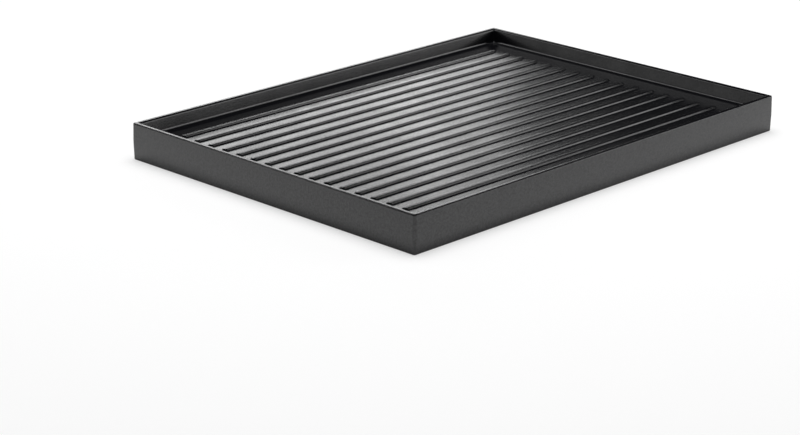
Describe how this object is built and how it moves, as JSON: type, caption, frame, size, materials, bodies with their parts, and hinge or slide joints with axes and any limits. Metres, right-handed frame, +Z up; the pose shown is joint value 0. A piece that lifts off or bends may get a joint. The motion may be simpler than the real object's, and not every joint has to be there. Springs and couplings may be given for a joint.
{
  "type": "reversible grill plate",
  "caption": "Rectangular cast plate with a rim standing above and below a level deck, parallel grill ribs on one side and a smooth griddle on the other.",
  "frame": {"origin": "centre of the rest plane under the lower rim", "axes": "+X along the plate's length and its ribs, +Y across the ribs, +Z up out of the ribbed side"},
  "size_m": [0.42, 0.31, 0.03],
  "materials": {
    "coated_casting": "satin"
  },
  "bodies": {
    "root": {"deck": "coated_casting", "front_wall": "coated_casting", "right_wall": "coated_casting", "back_wall": "coated_casting", "left_wall": "coated_casting", "grill_rib_01": "coated_casting", "grill_rib_02": "coated_casting", "grill_rib_03": "coated_casting", "grill_rib_04": "coated_casting", "grill_rib_05": "coated_casting", "grill_rib_06": "coated_casting", "grill_rib_07": "coated_casting", "grill_rib_08": "coated_casting", "grill_rib_09": "coated_casting", "grill_rib_10": "coated_casting", "grill_rib_11": "coated_casting", "grill_rib_12": "coated_casting", "grill_rib_13": "coated_casting", "grill_rib_14": "coated_casting", "grill_rib_15": "coated_casting", "grill_rib_16": "coated_casting"}
  },
  "joints": []
}
